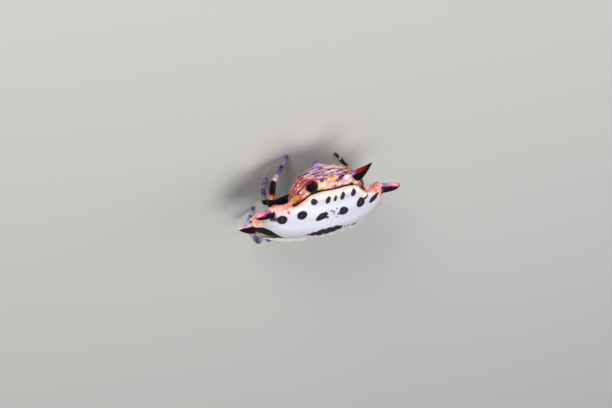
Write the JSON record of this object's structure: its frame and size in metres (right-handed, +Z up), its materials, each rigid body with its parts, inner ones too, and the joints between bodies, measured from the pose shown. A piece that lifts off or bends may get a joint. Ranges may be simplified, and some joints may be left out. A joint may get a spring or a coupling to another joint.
{
  "type": "spiny orb weaver",
  "caption": "Life-size still model of a spiny orb weaver spider: broad pale abdomen shield with dark pits, six spines, folded underside, standing on eight legs.",
  "frame": {"origin": "on the ground under the middle of the whole animal's box", "axes": "+Z up, the head towards -Y, the spider's left side towards +X"},
  "size_m": [0.0138, 0.0136, 0.0062],
  "materials": {
    "shield": "glossy pale shell with dark pits",
    "underside": "satin folded skin, orange brown with lilac and cream stripes",
    "pale_spine": "glossy salmon pink horn with a dark tip",
    "dark_spine": "glossy deep red to black horn",
    "carapace": "dark brown shell with short pale hairs",
    "eyes": "wet black",
    "legs": "satin shell banded black, orange, pink and lilac, with short bristles"
  },
  "bodies": {
    "root": {"abdomen_shield": "shield", "abdomen_underside": "underside", "chelicera_left": "carapace", "chelicera_right": "carapace", "eye_front_median_left": "eyes", "eye_front_median_right": "eyes", "eye_front_side_left": "eyes", "eye_front_side_right": "eyes", "eye_rear_median_left": "eyes", "eye_rear_median_right": "eyes", "eye_rear_side_left": "eyes", "eye_rear_side_right": "eyes", "leg_left_1_femur": "legs", "leg_left_1_foot": "legs", "leg_left_1_tibia": "legs", "leg_left_2_femur": "legs", "leg_left_2_foot": "legs", "leg_left_2_tibia": "legs", "leg_left_3_femur": "legs", "leg_left_3_foot": "legs", "leg_left_3_tibia": "legs", "leg_left_4_femur": "legs", "leg_left_4_foot": "legs", "leg_left_4_tibia": "legs", "leg_right_1_femur": "legs", "leg_right_1_foot": "legs", "leg_right_1_tibia": "legs", "leg_right_2_femur": "legs", "leg_right_2_foot": "legs", "leg_right_2_tibia": "legs", "leg_right_3_femur": "legs", "leg_right_3_foot": "legs", "leg_right_3_tibia": "legs", "leg_right_4_femur": "legs", "leg_right_4_foot": "legs", "leg_right_4_tibia": "legs", "palp_left": "carapace", "palp_right": "carapace", "pedicel": "carapace", "prosoma": "carapace", "spine_front_left": "pale_spine", "spine_front_right": "pale_spine", "spine_rear_left": "dark_spine", "spine_rear_right": "dark_spine", "spine_side_left": "pale_spine", "spine_side_right": "pale_spine", "spinnerets": "underside"}
  },
  "joints": []
}
